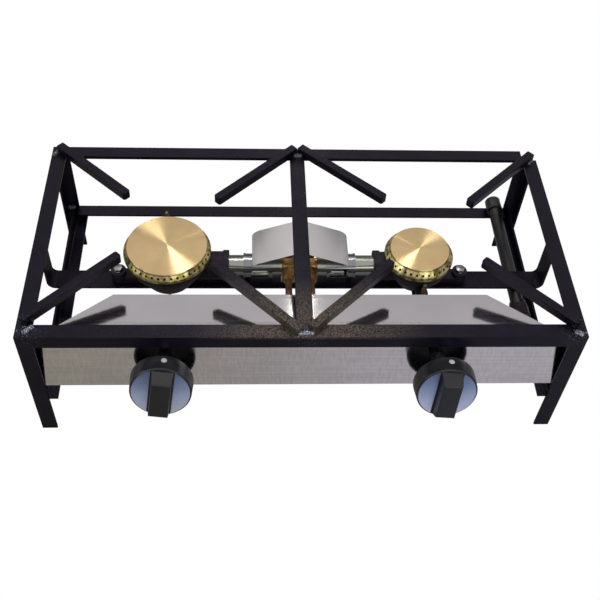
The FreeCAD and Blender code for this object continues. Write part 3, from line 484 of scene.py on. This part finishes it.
# ------------------------------------------------------------------ fine pieces
def piece(name, bm, look):
    """Turns a bmesh into a smooth-shaded piece that rides on the frame."""
    me = bpy.data.meshes.new(name)
    for f in bm.faces:
        f.smooth = True
    bm.to_mesh(me)
    bm.free()
    obj = bpy.data.objects.new(name, me)
    scene.collection.objects.link(obj)
    me.materials.append(look)
    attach(obj, "frame")


def blob(bm, at, radius, squash, turn, rng, rough=0.12):
    """Flattened, slightly uneven bead of metal."""
    made = bmesh.ops.create_icosphere(bm, subdivisions=2, radius=radius)
    rot = Matrix.Rotation(turn, 3, "Z")
    for v in made["verts"]:
        k = 1.0 + rng.uniform(-rough, rough)
        p = Vector((v.co.x * squash[0], v.co.y * squash[1], v.co.z * squash[2])) * k
        v.co = Vector(at) + rot @ p


def weld_ripples():
    """Overlapping crescents along each bead, and spatter on the steel round the front ones."""
    rng = random.Random(7)
    bm = bmesh.new()
    for x, y, z, heading, length in WELDS:
        a = math.radians(heading)
        steps = max(3, int(length / 0.0022) + 2)
        for i in range(steps):
            t = (i / (steps - 1) - 0.5) * (length + 0.002)
            at = (x + math.cos(a) * t, y + SHIFT_Y + math.sin(a) * t, z + 0.0002)
            blob(bm, at, 0.0034, (0.55, 1.0, 0.98), a, rng, 0.03)
    for x, y, z, _, _ in FRONT_WELDS:
        for _ in range(16):
            px, py = x + rng.gauss(0, 0.007), y + rng.gauss(0, 0.0045)
            px = max(-HALF_W + 0.0015, min(HALF_W - 0.0015, px))
            py = max(-HALF_D + 0.0012, min(-HALF_D + 0.0155, py))
            blob(bm, (px, py + SHIFT_Y, z), rng.uniform(0.0005, 0.0011), (1, 1, 0.7), 0.0, rng)
    piece("weld_ripples", bm, LOOKS["weld_steel"])


def thread(bm, base, axis, radius, pitch, turns, height, sides=28):
    """Helical ridge of triangular section; a negative height points inwards."""
    axis = Vector(axis).normalized()
    side = axis.orthogonal().normalized()
    other = axis.cross(side)
    rings = []
    total = int(turns * sides)
    for i in range(total + 1):
        ang = 2 * math.pi * i / sides
        out = side * math.cos(ang) + other * math.sin(ang)
        mid = Vector(base) + axis * (pitch * i / sides)
        fade = min(1.0, i / sides * 2, (total - i) / sides * 2)
        crest = radius + height * max(0.05, fade)
        rings.append([bm.verts.new(mid + out * radius - axis * pitch * 0.46),
                      bm.verts.new(mid + out * crest),
                      bm.verts.new(mid + out * radius + axis * pitch * 0.46)])
    for a, b in zip(rings, rings[1:]):
        for j in range(3):
            k = (j + 1) % 3
            bm.faces.new((a[j], b[j], b[k], a[k]))
    for end in (rings[0], rings[-1]):
        bm.faces.new(end)


def threads():
    """Threads that show: under the lug screws' nuts, in the socket and on the injectors."""
    bm = bmesh.new()
    for x in SCREWS_X:
        thread(bm, (x, SHIFT_Y, SCREW_FOOT_Z), (0, 0, 1), 0.0029, 0.001, 1.6, 0.0004)
    piece("screw_threads", bm, LOOKS["zinc_steel"])
    bm = bmesh.new()
    thread(bm, (INLET[0], INLET[1] + SHIFT_Y, INLET[2]), (0, 1, 0), 0.00747, 0.00134, 7.5,
           -0.0007, 36)
    piece("inlet_thread", bm, LOOKS["zinc_steel"])
    bm = bmesh.new()
    for d in (-1, 1):
        thread(bm, (d * INJECTOR_X, UNION_Y + SHIFT_Y, UNION_Z), (0, -1, 0),
               0.0060, 0.001, 3.6, 0.00045)
    piece("union_threads", bm, LOOKS["fitting_brass"])


def washers():
    """Split spring washers under the heads of the burner screws."""
    bore, rim, thick, rise, sides = 0.0037, 0.0056, 0.0012, 0.0004, 40
    bm = bmesh.new()
    for x in SCREWS_X:
        ring = []
        for i in range(sides + 1):
            a = math.radians(6 + 348 * i / sides)
            z = WASHER_Z + rise * (i / sides) - rise
            ring.append([bm.verts.new((x + r * math.cos(a), SHIFT_Y + r * math.sin(a), z + h))
                         for r, h in ((bore, 0.0), (rim, 0.0), (rim, thick), (bore, thick))])
        for p, q in zip(ring, ring[1:]):
            for j in range(4):
                k = (j + 1) % 4
                bm.faces.new((p[j], q[j], q[k], p[k]))
        bm.faces.new(ring[0])
        bm.faces.new(ring[-1])
    piece("spring_washers", bm, LOOKS["zinc_steel"])


weld_ripples()
threads()
washers()


# ------------------------------------------------------------------ stage, light, camera
def floor():
    """White to the camera; for reflections a matt floor, olive at the left and violet-grey
    at the right."""
    me = bpy.data.meshes.new("floor")
    s = 6.0
    me.from_pydata([(-s, -s, 0), (s, -s, 0), (s, s, 0), (-s, s, 0)], [], [(0, 1, 2, 3)])
    obj = bpy.data.objects.new("floor", me)
    scene.collection.objects.link(obj)
    mat = bpy.data.materials.new("pale_floor")
    mat.use_nodes = True
    t = mat.node_tree
    t.nodes.clear()
    out = t.nodes.new("ShaderNodeOutputMaterial")
    mix = t.nodes.new("ShaderNodeMixShader")
    path = t.nodes.new("ShaderNodeLightPath")
    matt = t.nodes.new("ShaderNodeBsdfDiffuse")
    tc = t.nodes.new("ShaderNodeTexCoord")
    sep = t.nodes.new("ShaderNodeSeparateXYZ")
    along = t.nodes.new("ShaderNodeMapRange")
    along.inputs["From Min"].default_value = -0.9
    along.inputs["From Max"].default_value = 0.9
    tones = t.nodes.new("ShaderNodeValToRGB")
    e = tones.color_ramp.elements
    e[0].position, e[0].color = 0.15, (0.28, 0.28, 0.205, 1)
    e[1].position, e[1].color = 0.9, (0.52, 0.51, 0.58, 1)
    e.new(0.4).color = (0.325, 0.31, 0.285, 1)
    e.new(0.6).color = (0.46, 0.46, 0.51, 1)
    t.links.new(tc.outputs["Object"], sep.inputs[0])
    t.links.new(sep.outputs["X"], along.inputs["Value"])
    t.links.new(along.outputs["Result"], tones.inputs["Fac"])
    t.links.new(tones.outputs["Color"], matt.inputs["Color"])
    white = t.nodes.new("ShaderNodeEmission")
    white.inputs["Color"].default_value = (1, 1, 1, 1)
    t.links.new(path.outputs["Is Camera Ray"], mix.inputs[0])
    t.links.new(matt.outputs[0], mix.inputs[1])
    t.links.new(white.outputs[0], mix.inputs[2])
    t.links.new(mix.outputs[0], out.inputs["Surface"])
    me.materials.append(mat)


def world():
    """White to the camera; a room that is dim below and bright above for reflections."""
    w = bpy.data.worlds.new("studio")
    scene.world = w
    w.use_nodes = True
    t = w.node_tree
    t.nodes.clear()
    out = t.nodes.new("ShaderNodeOutputWorld")
    mix = t.nodes.new("ShaderNodeMixShader")
    path = t.nodes.new("ShaderNodeLightPath")
    white = t.nodes.new("ShaderNodeBackground")
    white.inputs["Color"].default_value = (1, 1, 1, 1)
    room = t.nodes.new("ShaderNodeBackground")
    room.inputs["Strength"].default_value = 0.76
    tc = t.nodes.new("ShaderNodeTexCoord")
    sep = t.nodes.new("ShaderNodeSeparateXYZ")
    ramp = t.nodes.new("ShaderNodeValToRGB")
    e = ramp.color_ramp.elements
    e[0].position, e[0].color = 0.0, (0.25, 0.24, 0.26, 1)
    e[1].position, e[1].color = 1.0, (1.0, 0.98, 0.98, 1)
    e.new(0.35).color = (0.50, 0.49, 0.52, 1)
    e.new(0.72).color = (1.0, 0.965, 0.955, 1)
    t.links.new(tc.outputs["Generated"], sep.inputs[0])
    t.links.new(sep.outputs["Z"], ramp.inputs["Fac"])
    t.links.new(ramp.outputs["Color"], room.inputs["Color"])
    t.links.new(path.outputs["Is Camera Ray"], mix.inputs[0])
    t.links.new(room.outputs[0], mix.inputs[1])
    t.links.new(white.outputs[0], mix.inputs[2])
    t.links.new(mix.outputs[0], out.inputs["Surface"])


def softbox(name, place, aim, size, power, colour=(1, 1, 1)):
    """Rectangular lamp at a place, aimed at a point."""
    data = bpy.data.lights.new(name, "AREA")
    data.shape, data.size, data.size_y = "RECTANGLE", size[0], size[1]
    data.energy, data.color = power, colour
    obj = bpy.data.objects.new(name, data)
    scene.collection.objects.link(obj)
    obj.location = place
    obj.rotation_euler = (Vector(aim) - Vector(place)).to_track_quat("-Z", "Y").to_euler()


def camera():
    """The photograph's own camera, solved from the frame's corners."""
    yaw, pitch, roll = (math.radians(a) for a in (4.915, 50.16, 3.804))
    fwd = Vector((math.sin(yaw) * math.cos(pitch), math.cos(yaw) * math.cos(pitch),
                  -math.sin(pitch)))
    right = Vector((math.cos(yaw), -math.sin(yaw), 0.0))
    up = right.cross(fwd)
    r2 = right * math.cos(roll) + up * math.sin(roll)
    u2 = up * math.cos(roll) - right * math.sin(roll)
    data = bpy.data.cameras.new("camera")
    data.sensor_fit, data.sensor_width = "HORIZONTAL", 36.0
    data.lens = 897.3 / 600.0 * 36.0
    data.clip_start, data.clip_end = 0.01, 50.0
    obj = bpy.data.objects.new("camera", data)
    scene.collection.objects.link(obj)
    rot = Matrix((r2, u2, -fwd)).transposed().to_4x4()
    obj.matrix_world = Matrix.Translation((-0.0576, -0.713 + SHIFT_Y, 0.9137)) @ rot
    scene.camera = obj


floor()
world()
softbox("far_lamp", (0.07, 1.62, 3.4), (0, 0.02, 0.15), (0.60, 0.45), 14.0,
        (1.0, 0.97, 0.92))
softbox("low_lamp", (0.042, 0.62 + SHIFT_Y, 0.46), (0, 0.02, 0.15), (0.014, 0.03), 0.068,
        (1.0, 0.94, 0.86))
softbox("left", (-2.0, -0.6, 1.4), (0, 0, 0.1), (1.4, 1.4), 10.0, (0.93, 0.95, 1.0))
softbox("front", (0.9, -1.9, 1.0), (0, 0, 0.1), (1.6, 1.0), 7.0)
camera()
scene.view_settings.view_transform = "Standard"
scene.view_settings.look = "None"
